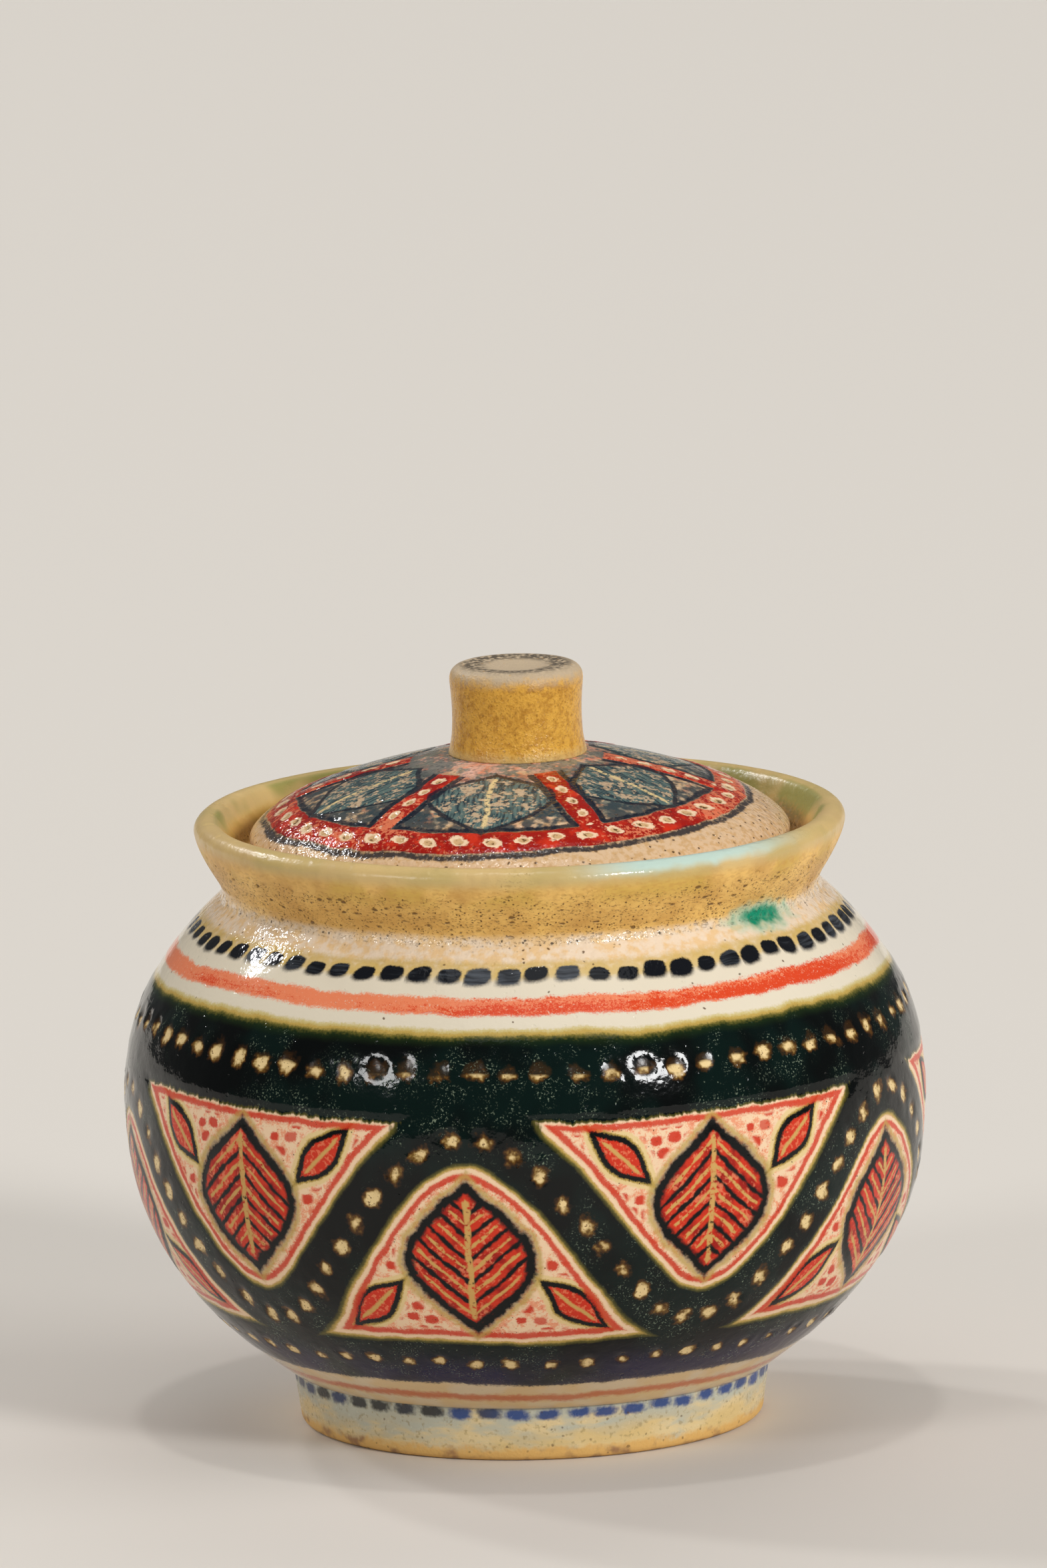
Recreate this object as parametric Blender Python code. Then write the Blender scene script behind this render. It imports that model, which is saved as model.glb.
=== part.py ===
"""Lidded stoneware sugar jar, turned on a wheel and put together from separately thrown clay pieces.

The jar stands on its foot ring at z = 0 with its axis along +Z. The bowl sits on the foot ring, and a flared
collar sits on the bowl's neck. A ledge inside the collar, the gallery, carries the lid. The lid is a dome with a
locating flange under it and a knob on top, and it lifts straight up out of the collar. Lengths are in metres.
"""

import math

import bmesh
import bpy

# Turning and joining
STEPS_AROUND = 48
CURVE_STEPS = 9
EDGE_STEPS = 3
MERGE_DISTANCE = 0.000001
LUTING_GAP = 0.0003
SHARP_ANGLE = math.radians(38.0)

# Foot ring
FOOT_HEIGHT = 0.0087
FOOT_TOP_RADIUS = 0.0388
FOOT_TAPER = 0.0011
FOOT_WALL = 0.0065
FOOT_EDGE_ROUND = 0.0013

# Bowl, with heights measured from the foot ring's joint
BELLY_RADIUS = 0.0650
BELLY_RISE = 0.0445
BELLY_DRAW_IN = 2.5
BASE_OVERHANG = 0.0004
SHOULDER_RISE = 0.0343
SHOULDER_DRAW_IN = 2.35
NECK_RADIUS = 0.0479
NECK_LAND = 0.0055
BOWL_WALL = 0.0046
FLOOR_THICKNESS = 0.0055

# Collar and its gallery
COLLAR_HEIGHT = 0.0119
COLLAR_FLARE = 0.0050
COLLAR_FLARE_POWER = 1.4
COLLAR_WALL = 0.0048
LIP_HEIGHT = 0.0021
GALLERY_DEPTH = 0.0066
GALLERY_WIDTH = 0.0060
GALLERY_OVERHANG = 0.0031
GALLERY_THICKNESS = 0.0026

# Lid dome
LID_CLEARANCE = 0.00135
LID_RIM_HEIGHT = 0.0028
LID_RIM_ROUND = 0.0012
LID_THICKNESS = 0.0050
DOME_RISE = 0.0144
DOME_SPREAD = 1.5
DOME_FULLNESS = 1.6

# Locating flange under the lid
FLANGE_CLEARANCE = 0.0008
FLANGE_WALL = 0.0040
FLANGE_DEPTH = 0.0055
FLANGE_EDGE_ROUND = 0.0009

# Knob
KNOB_RADIUS = 0.0109
KNOB_HEIGHT = 0.0142
KNOB_WAIST = 0.0004
KNOB_EDGE_ROUND = 0.0022
KNOB_DISH = 0.0006
KNOB_SEAT_MARGIN = 0.0004

# Where the pieces meet
FOOT_BASE_RADIUS = FOOT_TOP_RADIUS - FOOT_TAPER
FOOT_INNER_RADIUS = FOOT_BASE_RADIUS - FOOT_WALL
BOWL_BASE_RADIUS = FOOT_TOP_RADIUS + BASE_OVERHANG
BOWL_HEIGHT = BELLY_RISE + SHOULDER_RISE
MOUTH_RADIUS = NECK_RADIUS - NECK_LAND
LIP_RADIUS = NECK_RADIUS + COLLAR_FLARE
LEDGE_HEIGHT = COLLAR_HEIGHT - GALLERY_DEPTH
THROAT_RADIUS = MOUTH_RADIUS - GALLERY_OVERHANG
GALLERY_RADIUS = THROAT_RADIUS + GALLERY_WIDTH
LID_RADIUS = GALLERY_RADIUS - LID_CLEARANCE
FLANGE_RADIUS = THROAT_RADIUS - FLANGE_CLEARANCE
FLANGE_INNER_RADIUS = FLANGE_RADIUS - FLANGE_WALL
KNOB_SEAT_RADIUS = KNOB_RADIUS + KNOB_SEAT_MARGIN

# Heights of the pieces above the table
BOWL_Z = FOOT_HEIGHT + LUTING_GAP
COLLAR_Z = BOWL_Z + BOWL_HEIGHT + LUTING_GAP
LID_Z = COLLAR_Z + LEDGE_HEIGHT + LUTING_GAP


def clear_scene():
    """Removes whatever the file already holds."""
    for item in list(bpy.data.objects):
        bpy.data.objects.remove(item, do_unlink=True)


def clay(name, colour, roughness):
    """A fired clay or glaze surface with one colour and gloss."""
    material = bpy.data.materials.new(name)
    material.use_nodes = True
    shader = material.node_tree.nodes["Principled BSDF"]
    shader.inputs["Base Color"].default_value = (*colour, 1.0)
    shader.inputs["Roughness"].default_value = roughness
    shader.inputs["Metallic"].default_value = 0.0
    return material


def arc(centre, radii, start, end, steps):
    """Points on an ellipse in the (radius, height) plane, between two angles in degrees."""
    points = []
    for step in range(steps + 1):
        angle = math.radians(start + (end - start) * step / steps)
        points.append((centre[0] + radii[0] * math.cos(angle), centre[1] + radii[1] * math.sin(angle)))
    return points


def shares(steps):
    """Evenly spaced shares of a curve, from 0 to 1."""
    return [step / steps for step in range(steps + 1)]


def inward(points, distance):
    """A run of outline points moved square to the wall, towards the clay's inner side."""
    moved = []
    for index, (radius, height) in enumerate(points):
        before = points[max(index - 1, 0)]
        after = points[min(index + 1, len(points) - 1)]
        along = (after[0] - before[0], after[1] - before[1])
        length = math.hypot(*along)
        moved.append((radius + along[1] / length * distance, height - along[0] / length * distance))
    return moved


def turned(name, outline, is_ring, material, parent, height):
    """Spins an outline round the axis; a ring's outline is a loop, and a solid one's ends lie on the axis."""
    wheel = bmesh.new()
    corners = [wheel.verts.new((radius, 0.0, z)) for radius, z in outline]
    edges = [wheel.edges.new(pair) for pair in zip(corners, corners[1:])]
    if is_ring:
        edges.append(wheel.edges.new((corners[-1], corners[0])))
    bmesh.ops.spin(
        wheel,
        geom=corners + edges,
        cent=(0.0, 0.0, 0.0),
        axis=(0.0, 0.0, 1.0),
        angle=math.tau,
        steps=STEPS_AROUND,
    )
    bmesh.ops.remove_doubles(wheel, verts=wheel.verts, dist=MERGE_DISTANCE)
    bmesh.ops.recalc_face_normals(wheel, faces=wheel.faces)
    mesh = bpy.data.meshes.new(name)
    wheel.to_mesh(mesh)
    wheel.free()
    mesh.shade_smooth()
    mesh.set_sharp_from_angle(angle=SHARP_ANGLE)
    mesh.materials.append(material)
    piece = bpy.data.objects.new(name, mesh)
    piece.parent = parent
    piece.location.z = height
    bpy.context.scene.collection.objects.link(piece)


def body_empty(name, height):
    """An empty on the jar's axis that carries the pieces moving together."""
    empty = bpy.data.objects.new(name, None)
    empty.location.z = height
    bpy.context.scene.collection.objects.link(empty)
    return empty


def foot_ring_outline():
    """A tapered ring whose rounded edges leave a flat track on the table."""
    outer_edge = (FOOT_BASE_RADIUS - FOOT_EDGE_ROUND, FOOT_EDGE_ROUND)
    inner_edge = (FOOT_INNER_RADIUS + FOOT_EDGE_ROUND, FOOT_EDGE_ROUND)
    edge = (FOOT_EDGE_ROUND, FOOT_EDGE_ROUND)
    outline = [(FOOT_TOP_RADIUS, FOOT_HEIGHT)]
    outline += arc(outer_edge, edge, 0.0, -90.0, EDGE_STEPS)
    outline += arc(inner_edge, edge, -90.0, -180.0, EDGE_STEPS)
    outline.append((FOOT_INNER_RADIUS, FOOT_HEIGHT))
    return outline


def bowl_wall():
    """The bowl's outer wall from the neck over the widest ring down to the foot."""
    points = []
    for share in reversed(shares(CURVE_STEPS)):
        radius = BELLY_RADIUS - (BELLY_RADIUS - NECK_RADIUS) * share**SHOULDER_DRAW_IN
        points.append((radius, BELLY_RISE + SHOULDER_RISE * share))
    for share in shares(CURVE_STEPS)[1:]:
        radius = BELLY_RADIUS - (BELLY_RADIUS - BOWL_BASE_RADIUS) * share**BELLY_DRAW_IN
        points.append((radius, BELLY_RISE * (1.0 - share)))
    return points


def bowl_outline():
    """The wall with its inner face, the flat land at the neck, the floor and the flat underside."""
    wall = bowl_wall()
    inside = list(reversed(inward(wall, BOWL_WALL)))
    above = [point for point in inside if point[1] > FLOOR_THICKNESS]
    below = [point for point in inside if point[1] <= FLOOR_THICKNESS][-1]
    share = (FLOOR_THICKNESS - below[1]) / (above[0][1] - below[1])
    floor_radius = below[0] + (above[0][0] - below[0]) * share
    floor = [(0.0, FLOOR_THICKNESS), (floor_radius, FLOOR_THICKNESS)]
    return floor + above + [(MOUTH_RADIUS, BOWL_HEIGHT)] + wall + [(0.0, 0.0)]


def rim_collar_outline():
    """The flared wall with its round lip, and the gallery ledge that stands into the throat."""
    lip_middle = (LIP_RADIUS - COLLAR_WALL / 2.0, COLLAR_HEIGHT - LIP_HEIGHT)
    outline = arc(lip_middle, (COLLAR_WALL / 2.0, LIP_HEIGHT), 180.0, 0.0, 2 * EDGE_STEPS)
    for share in reversed(shares(CURVE_STEPS - EDGE_STEPS)[:-1]):
        radius = LIP_RADIUS - COLLAR_FLARE * (1.0 - share) ** COLLAR_FLARE_POWER
        outline.append((radius, lip_middle[1] * share))
    outline.append((MOUTH_RADIUS, 0.0))
    outline.append((THROAT_RADIUS, LEDGE_HEIGHT - GALLERY_THICKNESS))
    outline.append((THROAT_RADIUS, LEDGE_HEIGHT))
    outline.append((GALLERY_RADIUS, LEDGE_HEIGHT))
    return outline


def dome_height(radius):
    """Height of the lid's upper surface over its rim's underside."""
    fall = (radius / LID_RADIUS) ** DOME_SPREAD
    return LID_RIM_HEIGHT + DOME_RISE * (1.0 - fall) ** (1.0 / DOME_FULLNESS)


def lid_dome_outline():
    """The dome with a flat seat for the knob, a round rim, a flat underside to sit on and a hollow inside."""
    seat_height = dome_height(KNOB_SEAT_RADIUS)
    outline = [(0.0, seat_height)]
    for share in shares(CURVE_STEPS):
        radius = KNOB_SEAT_RADIUS + (LID_RADIUS - KNOB_SEAT_RADIUS) * math.sin(share * math.pi / 2.0)
        outline.append((radius, dome_height(radius)))
    rim_middle = (LID_RADIUS - LID_RIM_ROUND, LID_RIM_HEIGHT)
    outline += arc(rim_middle, (LID_RIM_ROUND, LID_RIM_HEIGHT), 0.0, -90.0, EDGE_STEPS)[1:]
    hollow = (FLANGE_INNER_RADIUS, seat_height - LID_THICKNESS)
    outline += arc((0.0, 0.0), hollow, 0.0, 90.0, CURVE_STEPS)[:-1]
    outline.append((0.0, hollow[1]))
    return outline


def lid_flange_outline():
    """A plain ring that hangs in the throat and keeps the lid from sliding."""
    edge = (FLANGE_EDGE_ROUND, FLANGE_EDGE_ROUND)
    edge_height = FLANGE_EDGE_ROUND - FLANGE_DEPTH
    outline = [(FLANGE_RADIUS, -LUTING_GAP)]
    outline += arc((FLANGE_RADIUS - FLANGE_EDGE_ROUND, edge_height), edge, 0.0, -90.0, EDGE_STEPS)
    outline += arc((FLANGE_INNER_RADIUS + FLANGE_EDGE_ROUND, edge_height), edge, -90.0, -180.0, EDGE_STEPS)
    outline.append((FLANGE_INNER_RADIUS, -LUTING_GAP))
    return outline


def lid_knob_outline():
    """A short waisted drum with a rounded upper edge and a shallow dish in its top."""
    edge_middle = (KNOB_RADIUS - KNOB_EDGE_ROUND, KNOB_HEIGHT - KNOB_EDGE_ROUND)
    dish_radius = edge_middle[0]
    outline = [(0.0, KNOB_HEIGHT - KNOB_DISH)]
    for share in shares(EDGE_STEPS)[1:-1]:
        outline.append((dish_radius * share, KNOB_HEIGHT - KNOB_DISH * math.cos(share * math.pi / 2.0)))
    outline += arc(edge_middle, (KNOB_EDGE_ROUND, KNOB_EDGE_ROUND), 90.0, 0.0, EDGE_STEPS)
    for share in reversed(shares(CURVE_STEPS - EDGE_STEPS)[:-1]):
        outline.append((KNOB_RADIUS - KNOB_WAIST * math.sin(share * math.pi), edge_middle[1] * share))
    outline.append((0.0, 0.0))
    return outline


def build_jar():
    """The pieces that stand on the table."""
    jar = body_empty("jar", 0.0)
    foot_glaze = clay("foot_glaze", (0.42, 0.33, 0.20), 0.45)
    painted_glaze = clay("painted_glaze", (0.05, 0.05, 0.05), 0.15)
    ochre_glaze = clay("ochre_glaze", (0.48, 0.28, 0.09), 0.40)
    turned("foot_ring", foot_ring_outline(), True, foot_glaze, jar, 0.0)
    turned("bowl", bowl_outline(), False, painted_glaze, jar, BOWL_Z)
    turned("rim_collar", rim_collar_outline(), True, ochre_glaze, jar, COLLAR_Z)


def build_lid():
    """The pieces that lift off together."""
    lid = body_empty("lid", LID_Z)
    lid_glaze = clay("lid_glaze", (0.50, 0.33, 0.20), 0.25)
    bare_clay = clay("bare_clay", (0.55, 0.40, 0.25), 0.70)
    knob_glaze = clay("knob_glaze", (0.50, 0.28, 0.07), 0.35)
    turned("lid_dome", lid_dome_outline(), False, lid_glaze, lid, 0.0)
    turned("lid_flange", lid_flange_outline(), True, bare_clay, lid, 0.0)
    turned("lid_knob", lid_knob_outline(), False, knob_glaze, lid, dome_height(KNOB_SEAT_RADIUS) + LUTING_GAP)


clear_scene()
build_jar()
build_lid()
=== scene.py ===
"""Looks of the lidded stoneware sugar jar: turned clay under painted, salt-fired glazes.

Every piece is turned from its CAD outline by Geometry Nodes, and the hand painting is a set of formulas on
the surface. The same formulas colour the glaze and raise or press the clay under it. Outlines and lights are
in metres. The painting is laid out in millimetres, with turns round the wheel in radians from the front.
"""

import math

import bpy
from mathutils import Matrix, Vector


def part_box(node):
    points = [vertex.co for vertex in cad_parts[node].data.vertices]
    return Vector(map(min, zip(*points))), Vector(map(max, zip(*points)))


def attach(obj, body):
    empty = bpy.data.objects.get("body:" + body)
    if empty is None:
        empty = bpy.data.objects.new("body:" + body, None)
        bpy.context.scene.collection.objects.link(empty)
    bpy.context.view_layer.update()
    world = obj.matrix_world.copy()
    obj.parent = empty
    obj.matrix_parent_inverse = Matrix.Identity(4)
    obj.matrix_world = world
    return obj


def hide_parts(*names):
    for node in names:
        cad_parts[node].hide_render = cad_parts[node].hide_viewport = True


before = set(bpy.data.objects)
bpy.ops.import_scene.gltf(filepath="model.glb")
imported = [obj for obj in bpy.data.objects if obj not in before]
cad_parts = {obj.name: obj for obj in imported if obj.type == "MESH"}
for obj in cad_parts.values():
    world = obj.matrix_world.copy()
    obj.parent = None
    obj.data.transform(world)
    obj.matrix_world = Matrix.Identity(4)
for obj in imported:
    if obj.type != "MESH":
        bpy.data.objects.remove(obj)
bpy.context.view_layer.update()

MM = 0.001


def heights_of(node):
    """The lowest and the highest point of a CAD node, in millimetres."""
    low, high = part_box(node)
    return low[2] / MM, high[2] / MM


COLLAR_FOOT, COLLAR_TOP = heights_of("rim_collar")
KNOB_FOOT, KNOB_CROWN = heights_of("lid_knob")

# Turning
CORNER_ANGLE = math.radians(35.0)
CORNER_ROUND = 0.0007
EASE_PASSES = 5
RING_BEND = math.radians(14.0)
POLE_MERGE = 0.000002
SECTION_REACH = 0.000001
SAME_POINT = 0.000000001
FINE_FACING = 0.1
FINISH_STEP = (-0.6, -0.4)
POINT_GRID = 0.00001
LUTING_REACH = 0.0005
LUTING_EDGE = 0.0001
UPPER_FACE = 1
LOWER_FACE = -1
COLLAR_SKIRT = ((0.65, 0.4), (0.7, -0.6), (1.35, -1.85), (0.1, -1.5))
KNOB_FLARE = 0.0004

# Steps round the wheel, ring spacing on the fine side and elsewhere, and where the fine side faces
FOOT_WHEEL = (480, 0.0005, 0.0015, (1.0, 0.2))
BOWL_WHEEL = (480, 0.00068, 0.0040, (1.0, 0.0))
COLLAR_WHEEL = (720, 0.00045, 0.0012, (1.0, 0.6))
LID_WHEEL = (600, 0.0005, 0.0025, (0.3, 1.0))
FLANGE_WHEEL = (240, 0.0006, 0.0012, (1.0, 0.0))
KNOB_WHEEL = (240, 0.0004, 0.0012, (0.7, 0.7))

# Where one finish gives way to the next: at the ring farthest in this direction of the outline's plane
BOWL_ZONES = ((1.0, 3.0), (1.0, -3.0))
LID_ZONES = ((1.0, -1.0),)

# Bands of the bowl and the foot, as heights, and the radii where the foot's outer side begins
NECK = (82.6, 84.4)
GOLD_LINE = (84.2, 0.4)
DASH_ROW = dict(count=70, middle=82.7, radius=54.3, half=(1.95, 1.08), lean=0.3, seed=3)
RED_STRIPE = (78.45, 1.25)
OCHRE_LINE = 74.8
GROUND_TOP = 73.9
GROUND_FOOT = 14.5
UPPER_DOTS = dict(count=72, middle=69.4, radius=62.2, half=(1.85, 1.7), lean=0.0, seed=11)
LOWER_DOTS = dict(count=56, middle=19.5, radius=51.8, half=(1.5, 0.95), lean=0.0, seed=17)
DOT_DROP = 0.5
DRIPS = (58.5, 62.0)
RUST_STRIPE = (11.7, 0.65)
FOOT_DASHES = dict(count=50, middle=8.0, radius=38.6, half=(2.0, 0.95), lean=0.0, seed=23)
FOOT_BARE_EDGE = (2.9, 1.5)
FOOT_OUTER_SIDE = (35.5, 36.8)

# How far a dab strays along and over its row, its least size and how much it may gain, and its bluntness
DAB_WANDER = (0.3, 0.4)
DAB_SPREAD = (0.84, 0.25)
DAB_BLUNTNESS = 2.8

# The dark vine that waves round the belly, and the leaf and two leaflets in each of its bays
VINE_WAVES = 5
VINE_SHIFT = 0.12
VINE_MIDDLE = 42.6
VINE_RISE = 16.5
VINE_HALF = 5.2
VINE_STRETCH = 0.118
VINE_DOTS = 20
VINE_DOT = (1.75, 1.65)
VINE_PITCH = 5.4
BAY_REACH = 18.9
LEAF_MIDDLE = 4.0
LEAF = (9.6, 12.0)
LEAF_VEIN_PITCH = 3.9
LEAF_VEIN_RISE = 0.9
LEAFLET_MIDDLE = (16.0, 8.4)
LEAFLET_LEAN = math.radians(46.0)
LEAFLET = (2.5, 6.2)
BAY_DAB_PITCH = (2.9, 2.4)
BAY_DAB = (0.34, 0.31)

# Marks of the collar and the knob
SCARS = dict(pitch=1.05, share=0.55, seed=15)
SCAR_DRAW = 26.0
COPPER_SPLASH = dict(turn=0.92, radius=50.0, middle=87.4, half=(7.5, 2.1))
# The collar's inner wall, which takes green patches and the painted shade
GALLERY_RADII = (50.2, 49.0)
KNOB_DISH_RADII = (8.8, 7.6)
KNOB_SOOT_RING = (7.2, 1.8, 1.3)

# Bands of the lid, as radii round the painter's own middle
LID_PAINT_MIDDLE = (-1.9, -1.2)
LID_RING = (36.4, 2.3)
LID_RING_DOTS = 44
LID_RING_DOT = (1.6, 1.1)
LID_SPOKES = 6
LID_SPOKE_SHIFT = 0.12
LID_SPOKE_HALF = 2.15
LID_SPOKE_REACH = (15.5, 34.5)
LID_SPOKE_PITCH = 4.1
LID_SPOKE_DOT = (0.95, 1.25)
LID_LEAF_MIDDLE = 24.6
LID_LEAF = (10.5, 9.4)
LID_LINE_HALF = 0.62

# Camera, from the photograph's view
CAMERA_RISE = math.radians(10.5)
CAMERA_ROLL = math.radians(-1.3)
CAMERA_DISTANCE = 3.4
CAMERA_FAR = 40.0
FRAME_HEIGHT = 0.2557
AIM = (-0.0015, 0.1024)
SENSOR = 36.0

# Floor, dim light and lamps. A lamp's row has its name, its degrees off the front and above the level,
# its sides, its watts, and whether the glaze mirrors it.
FLOOR_PALE = (0.70, 0.655, 0.595, 1.0)
FLOOR_ROUGHNESS = 0.8
FLOOR_REACH = 12.0
FLOOR_STEPS = 64
DIM_TONE = (1.0, 0.99, 0.97, 1.0)
DIM_STRENGTH = 0.1
LAMP_DISTANCE = 6.0
LAMP_AIM = (0.0, 0.0, 0.06)
LAMPS = (
    ("right_key", 39.0, 27.0, (1.12, 1.12), 169.0, True),
    ("right_side", 82.0, 24.0, (3.4, 3.4), 119.0, False),
    ("left_fill", -47.0, 27.0, (1.28, 0.9), 73.0, True),
    ("left_rim", -124.0, 36.0, (0.52, 0.52), 62.5, True),
    ("back_fill", 165.0, 42.0, (3.75, 3.75), 69.0, False),
    ("overhead", 10.0, 76.0, (4.5, 4.5), 49.4, True),
    ("top_glint", -20.0, 86.0, (0.35, 0.35), 35.0, True),
    ("back_glint", -142.0, 37.0, (0.45, 0.45), 56.0, True),
)


def srgb(red, green, blue):
    """A colour as seen on a screen, 0 to 255, turned to the renderer's linear values."""
    linear = []
    for share in (red / 255.0, green / 255.0, blue / 255.0):
        linear.append(share / 12.92 if share <= 0.04045 else ((share + 0.055) / 1.055) ** 2.4)
    return (*linear, 1.0)


CREAM = srgb(224, 213, 191)
SHOULDER_BEIGE = srgb(236, 202, 154)
NECK_PALE = srgb(240, 222, 200)
WARM_HALO = srgb(208, 176, 98)
DASH_BLACK = srgb(20, 22, 27)
DASH_SLATE = srgb(84, 90, 98)
CORAL = srgb(234, 134, 94)
STRIPE_RED = srgb(217, 72, 38)
RED = srgb(206, 50, 26)
DEEP_RED = srgb(160, 24, 14)
OCHRE_YELLOW = srgb(188, 158, 82)
OCHRE_PALE = srgb(204, 186, 126)
OLIVE = srgb(112, 104, 46)
MOSS = srgb(30, 46, 20)
GROUND_BLACK = srgb(6, 9, 9)
GROUND_GREEN = srgb(9, 32, 28)
GROUND_VIOLET = srgb(30, 26, 62)
PALE_SPECK = srgb(150, 165, 140)
DOT_CREAM = srgb(230, 202, 146)
VEIN_GOLD = srgb(206, 162, 92)
DOT_OCHRE = srgb(150, 118, 58)
DOT_BROWN = srgb(92, 58, 22)
PANEL_CREAM = srgb(242, 209, 172)
GREY_WHITE = srgb(224, 194, 146)
RUST = srgb(198, 98, 66)
SPECK_BROWN = srgb(84, 56, 30)
PIT_BROWN = srgb(106, 72, 32)
COPPER_GREEN = srgb(24, 140, 106)
COPPER_HALO = srgb(176, 206, 178)
OCHRE = srgb(241, 196, 111)
OCHRE_DEEP = srgb(202, 153, 79)
LIP_YELLOW = srgb(202, 177, 126)
LIP_GREEN = srgb(146, 146, 76)
LIP_GOLD = srgb(200, 164, 66)
AQUA = srgb(192, 217, 207)
KNOB_GOLD = srgb(226, 171, 70)
KNOB_DEEP = srgb(182, 126, 42)
KNOB_BROWN = srgb(140, 92, 30)
KNOB_TOP = srgb(192, 174, 148)
SOOT = srgb(70, 62, 52)
LID_BEIGE = srgb(220, 186, 148)
LID_PINK = srgb(222, 170, 150)
LID_NAVY = srgb(14, 24, 40)
LID_WASH = srgb(96, 116, 110)
LID_DARK_WASH = srgb(38, 58, 66)
LID_SAND = srgb(204, 162, 110)
LINER = srgb(206, 178, 126)
LINER_DEEP = srgb(160, 118, 66)
BUFF = srgb(202, 168, 124)
BUFF_DEEP = srgb(164, 122, 82)
FOOT_PALE = srgb(228, 206, 156)
FOOT_YELLOW = srgb(222, 192, 126)
FOOT_BLUE_GREY = srgb(184, 190, 178)
FOOT_OLIVE = srgb(150, 128, 78)
FOOT_BARE = srgb(224, 179, 104)
DASH_BLUE = srgb(14, 62, 132)


# Formulas as nodes

class Field:
    """A value that varies over a surface. Arithmetic on it adds the matching nodes to its tree."""

    def __init__(self, tree, socket):
        self.tree = tree
        self.socket = socket

    def __add__(self, other):
        return calculate("ADD", self, other)

    def __sub__(self, other):
        return calculate("SUBTRACT", self, other)

    def __rsub__(self, other):
        return calculate("SUBTRACT", other, self)

    def __mul__(self, other):
        return calculate("MULTIPLY", self, other)

    def __truediv__(self, other):
        return calculate("DIVIDE", self, other)

    def __mod__(self, other):
        return calculate("FLOORED_MODULO", self, other)

    def __pow__(self, other):
        return calculate("POWER", self, other)

    def __neg__(self):
        return calculate("MULTIPLY", self, -1.0)

    def __abs__(self):
        return calculate("ABSOLUTE", self)


def plug(socket, value):
    """Gives a socket a field or a plain value."""
    if isinstance(value, Field):
        value.tree.links.new(value.socket, socket)
    else:
        socket.default_value = value


def add_node(tree, kind, inputs=(), **settings):
    """A new node with its settings, and its inputs by name or by number."""
    node = tree.nodes.new(kind)
    for name, value in settings.items():
        setattr(node, name, value)
    for key, value in dict(inputs).items():
        plug(node.inputs[key], value)
    return node


def out(node, key=0):
    """One output of a node, as a field."""
    return Field(node.id_data, node.outputs[key])


def calculate(operation, *values):
    """One step of arithmetic on fields and numbers."""
    tree = next(value.tree for value in values if isinstance(value, Field))
    return out(add_node(tree, "ShaderNodeMath", enumerate(values), operation=operation))


def calculate_vector(operation, place, *values):
    """One step of arithmetic on a vector field."""
    inputs = enumerate((place, *values))
    return out(add_node(place.tree, "ShaderNodeVectorMath", inputs, operation=operation))


def floor_of(value):
    """The whole number at or below the value."""
    return calculate("FLOOR", value)


def root(value):
    """The square root."""
    return calculate("SQRT", value)


def sine(value):
    """The sine of an angle in radians."""
    return calculate("SINE", value)


def cosine(value):
    """The cosine of an angle in radians."""
    return calculate("COSINE", value)


def larger(first, *others):
    """The largest of several fields."""
    for other in others:
        first = calculate("MAXIMUM", first, other)
    return first


def smaller(first, *others):
    """The smallest of several fields."""
    for other in others:
        first = calculate("MINIMUM", first, other)
    return first


def fade(value, start, end):
    """A soft step from 0 at start to 1 at end; start may be the larger."""
    inputs = enumerate((value, start, end))
    return out(add_node(value.tree, "ShaderNodeMapRange", inputs, interpolation_type="SMOOTHSTEP"))


def between(value, rise, fall):
    """1 between a soft rise and a soft fall, each given by its start and its end."""
    return fade(value, *rise) * fade(value, *fall)


def band(value, middle, half, soft):
    """1 within half of the middle, with soft edges."""
    return fade(abs(value - middle), half + soft, half - soft)


def split(place):
    """The three parts of a vector field."""
    node = add_node(place.tree, "ShaderNodeSeparateXYZ", {0: place})
    return [out(node, key) for key in range(3)]


def joined(x, y, z):
    """A vector field from three parts, the first of which is a field."""
    return out(add_node(x.tree, "ShaderNodeCombineXYZ", enumerate((x, y, z))))


def in_millimetres(place):
    """A place in metres turned to millimetres."""
    return calculate_vector("MULTIPLY", place, (1.0 / MM,) * 3)


def noise_node(place, grain, seed, detail):
    """Smooth noise whose lumps are about one grain across."""
    inputs = {"Vector": place, "W": seed * 7.3, "Scale": 1.0 / grain, "Detail": detail}
    return add_node(place.tree, "ShaderNodeTexNoise", inputs, noise_dimensions="4D")


def noise(place, grain, seed, detail=2.0):
    """Smooth noise from about 0.25 to 0.75."""
    return out(noise_node(place, grain, seed, detail))


def drifted(place, grain, amount, seed):
    """A place moved about by smooth noise, as a hand-held brush strays."""
    stray = calculate_vector("SUBTRACT", out(noise_node(place, grain, seed, 2.0), 1), (0.5,) * 3)
    return calculate_vector("MULTIPLY_ADD", stray, (amount,) * 3, place)


def chance(cell, seed):
    """A random share from 0 to 1 for each cell of a row."""
    inputs = {"Vector": joined(cell, seed * 1.7, 0.0)}
    return out(add_node(cell.tree, "ShaderNodeTexWhiteNoise", inputs, noise_dimensions="2D"), "Value")


def specks(place, pitch, reach, share, seed):
    """Scattered round specks: one in each cell of the pitch, kept in that share of the cells."""
    inputs = {"Vector": drifted(place, pitch * 0.7, pitch * 0.5, seed), "Scale": 1.0 / pitch}
    node = add_node(place.tree, "ShaderNodeTexVoronoi", inputs, voronoi_dimensions="3D")
    tone = split(out(node, "Color"))[0]
    return fade(out(node, "Distance"), reach, reach * 0.45) * fade(tone, share, share * 0.7)


def over(below, colour, mask):
    """A coat of colour laid over the one below where the mask says."""
    return out(add_node(mask.tree, "ShaderNodeMix", {0: mask, 6: below, 7: colour}, data_type="RGBA"), 2)


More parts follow.
